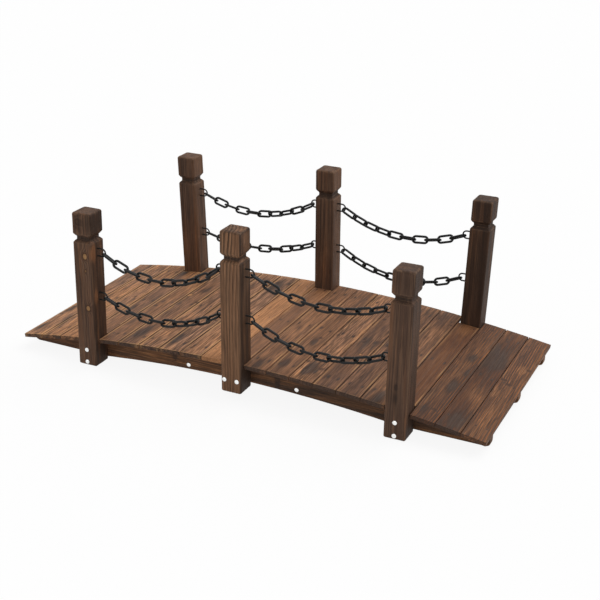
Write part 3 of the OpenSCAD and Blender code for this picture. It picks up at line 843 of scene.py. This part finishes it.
BEAM_ROWS = {"near": -1, "middle": 0, "far": 1}
BEAM_SCORCH, MOST_SCORCHED, MOST_SCORCH = 0.42, ("near", "right"), 0.75
BEAM_PITH, BEAM_PITH_HEIGHT, BEAM_RING, BEAM_LEAN = 70, (-60, -20), (4, 6), (0.01, 0.02)
BEAM_KNOT_ALONG, BEAM_KNOT_HEIGHT, BEAM_KNOT_SIZE = 600, 60.0, (5, 8)
for row, side in BEAM_ROWS.items():
    for bay in ("left", "right"):
        seed = 400 + int(dice.integers(0, 90))
        pith = (scattered(BEAM_PITH), dice.uniform(*BEAM_PITH_HEIGHT))
        ring_width = dice.uniform(*BEAM_RING)
        knot_along, knot_size = scattered(BEAM_KNOT_ALONG), dice.uniform(*BEAM_KNOT_SIZE)
        knot = (knot_along, side * BEAM_THICKNESS / 2, BEAM_KNOT_HEIGHT, knot_size, DARK_HEART)
        scorch = MOST_SCORCH if (row, bay) == MOST_SCORCHED else BEAM_SCORCH
        log = timber(seed, pith, BEAM_LEAN, ring_width, figure=1.0, scorch=scorch, warmth=0.45, knots=[knot])
        make_half_beam(row, side, bay, log, beam_wood)
    log = timber(600 + side, (60, -30), (0.01, 0.01), ring_width=4.5, figure=0.5, scorch=0.45, warmth=0.4)
    make_splice(row, side, log, beam_wood)

# Bolts and nails


def turned(profile, around):
    """Rows of rings of a turned shape about the first axis, as (along, u, v), from a profile of (radius, along)."""
    radius, along = np.asarray(profile, float).T[:, :, None]
    angle = np.linspace(0, 2 * np.pi, around, endpoint=False)
    return np.stack(np.broadcast_arrays(along, radius * np.cos(angle), radius * np.sin(angle)), -1)


def repeated(points, faces, places):
    """Copies of one shape as one mesh: `places` is a list of functions from the shape's points to the frame."""
    shift = len(points) * np.arange(len(places))
    moved = np.concatenate([place(points) for place in places])
    return moved, [(group[None] + shift[:, None, None]).reshape(-1, group.shape[1]) for group in faces]


BOLT_RADIUS, BOLT_DOME, BOLT_RIM, BOLT_SUNK = 7.0, 3.6, 0.9, 2.0
BOLT_POLE, BOLT_ROWS, BOLT_STEPS = 0.06, 9, 28
# Heights on the outer posts, and (distance from the middle, height) on the middle posts and on the beams
OUTER_BOLTS, MIDDLE_BOLTS, BEAM_BOLTS = (12.0, 52.0), (20.0, 62.5), (178.0, 45.0)


def bolt_head():
    """A domed bolt head: a quarter ellipse from the crown to the rim, then a short straight rim into the wood."""
    t = np.linspace(BOLT_POLE, 1, BOLT_ROWS) * np.pi / 2
    dome = np.stack([BOLT_RADIUS * np.sin(t), BOLT_RIM + BOLT_DOME * np.cos(t)], 1)[::-1]
    rim = [(0.6 * BOLT_RADIUS, -BOLT_SUNK), (BOLT_RADIUS, -BOLT_SUNK), (BOLT_RADIUS, 0.2 * BOLT_RIM)]
    return closed_skin(turned(np.concatenate([rim, dome]), BOLT_STEPS))


def facing_out(side, x, face, z):
    """From a turned shape's (along, u, v) to the frame, with its axis out of a side face of the bridge."""
    sign = SIDES[side]
    return lambda p: np.stack([x - sign * p[:, 1], sign * (face + p[:, 0]), z + p[:, 2]], 1)


outer_face = OVERALL_WIDTH / 2
for side in SIDES:
    spots = [
        (PLACES[place] * POST_SPACING + LEANS[side, place] * z, outer_face, z)
        for place in ("left", "right") for z in OUTER_BOLTS
    ]
    for face, (reach, z) in ((outer_face, MIDDLE_BOLTS), (POST_FACE, BEAM_BOLTS)):
        spots += [(x, face, z) for x in (-reach, reach)]
    heads, faces = repeated(*bolt_head(), [facing_out(side, *spot) for spot in spots])
    make_piece(f"bolts_{side}", heads, faces, "staple_steel", bolt_zinc)

NAIL_RADIUS, NAIL_PROUD, NAIL_SUNK, NAIL_STEPS = 2.1, 0.3, 1.5, 10


def nail_head():
    """A flat nail head with an eased rim."""
    profile = [
        (0.5, -NAIL_SUNK), (NAIL_RADIUS, -NAIL_SUNK), (NAIL_RADIUS, 0.5 * NAIL_PROUD), (0.75 * NAIL_RADIUS, NAIL_PROUD)
    ]
    return closed_skin(turned(profile, NAIL_STEPS))


def on_board(turn, along, u, v):
    """From a turned shape's (along, u, v) to the frame, with its axis up out of a deck board."""
    return lambda p: on_arc(turn, np.stack([along + p[:, 1], u + p[:, 0], v - p[:, 2]], 1))


heads, faces = repeated(*nail_head(), [on_board(*spot) for spot in nail_spots])
make_piece("deck_nails", heads, faces, "staple_steel", nail_iron)

# Chains and staples as packed

for name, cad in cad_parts.items():
    finish = chain_steel if name.startswith("chain_") else staple_steel if name == "staples" else None
    if finish:
        cad.data.materials.clear()
        cad.data.materials.append(finish)

# Camera

AZIMUTH, ELEVATION = 26.26, 23.59
EYE = (1.4253, -2.7834, 1.5444)
FOCAL_PIXELS, FRAME_PIXELS, SENSOR = 1119.35, 600.0, 36.0


def looking_in(azimuth, elevation):
    """Turn of a camera or lamp that looks in from an azimuth, 0 at the near side, and an elevation in degrees."""
    turn, rise = np.radians([azimuth, elevation])
    back = Vector((np.sin(turn) * np.cos(rise), -np.cos(turn) * np.cos(rise), np.sin(rise)))
    return (-back).to_track_quat("-Z", "Y").to_euler()


camera = add_object("camera", bpy.data.cameras.new("camera"))
bpy.context.scene.camera = camera
camera.data.sensor_width = SENSOR
camera.data.lens = FOCAL_PIXELS / FRAME_PIXELS * SENSOR
camera.data.clip_end = 100.0
camera.location = EYE
camera.rotation_euler = looking_in(AZIMUTH, ELEVATION)

# Floor and light

WHITE = (1, 1, 1, 1)
FLOOR_REACH = 14.0
# The floor's colours as light and in the picture, and how far it is plain white in the picture
FLOOR_LIT, FLOOR_SHOWN, FLOOR_WHITENESS = (0.8, 0.8, 0.8, 1), (0.98, 0.98, 0.98, 1), 0.9
SKY_LIT, SKY_SHOWN = 0.42, 1.0


def picture_ray(tree):
    """1 for rays that show the picture itself, straight on, in a reflection or through glass, and 0 for light."""
    ray = node(tree, "ShaderNodeLightPath").outputs
    seen = sums(tree, "MAXIMUM", ray["Is Camera Ray"], ray["Is Glossy Ray"])
    return sums(tree, "MAXIMUM", seen, ray["Is Transmission Ray"])


def floor_material():
    """A pale floor that is near white in the picture and keeps a soft shadow."""
    material, tree, shader = new_material("pale_floor")
    seen = picture_ray(tree)
    tree.links.new(mixed(tree, seen, FLOOR_LIT, FLOOR_SHOWN), shader.inputs["Base Color"])
    shader.inputs["Roughness"].default_value = 0.9
    shader.inputs["Specular IOR Level"].default_value = 0.0
    white = node(tree, "ShaderNodeEmission", {"Color": WHITE, "Strength": 1.0})
    share = times(tree, seen, FLOOR_WHITENESS)
    both = node(tree, "ShaderNodeMixShader", {0: share, 1: shader.outputs[0], 2: white.outputs[0]})
    tree.links.new(both.outputs[0], tree.nodes["Material Output"].inputs["Surface"])
    return material


corner = np.array([[-1, -1, 0], [1, -1, 0], [1, 1, 0], [-1, 1, 0]], float) * FLOOR_REACH
floor_mesh = bpy.data.meshes.new("floor")
floor_mesh.from_pydata(corner.tolist(), [], [(0, 1, 2, 3)])
floor_mesh.materials.append(floor_material())
floor = add_object("floor", floor_mesh)

world = bpy.data.worlds.new("studio")
bpy.context.scene.world = world
world.use_nodes = True
sky = world.node_tree.nodes["Background"]
sky.inputs["Color"].default_value = WHITE
levels = {"Value": picture_ray(world.node_tree), "To Min": SKY_LIT, "To Max": SKY_SHOWN}
level = node(world.node_tree, "ShaderNodeMapRange", levels)
world.node_tree.links.new(level.outputs[0], sky.inputs["Strength"])


def soft_sun(name, azimuth, elevation, level, spread):
    """A far soft lamp that shines from an azimuth and elevation. Level is what it adds to a surface that faces it."""
    lamp = bpy.data.lights.new(name, "SUN")
    lamp.energy = level * np.pi
    lamp.angle = np.radians(spread)
    add_object(name, lamp).rotation_euler = looking_in(azimuth, elevation)


soft_sun("key_light", azimuth=134, elevation=60, level=0.52, spread=50)
soft_sun("fill_light", azimuth=-10, elevation=55, level=0.08, spread=70)

bpy.context.scene.view_settings.view_transform = "Standard"
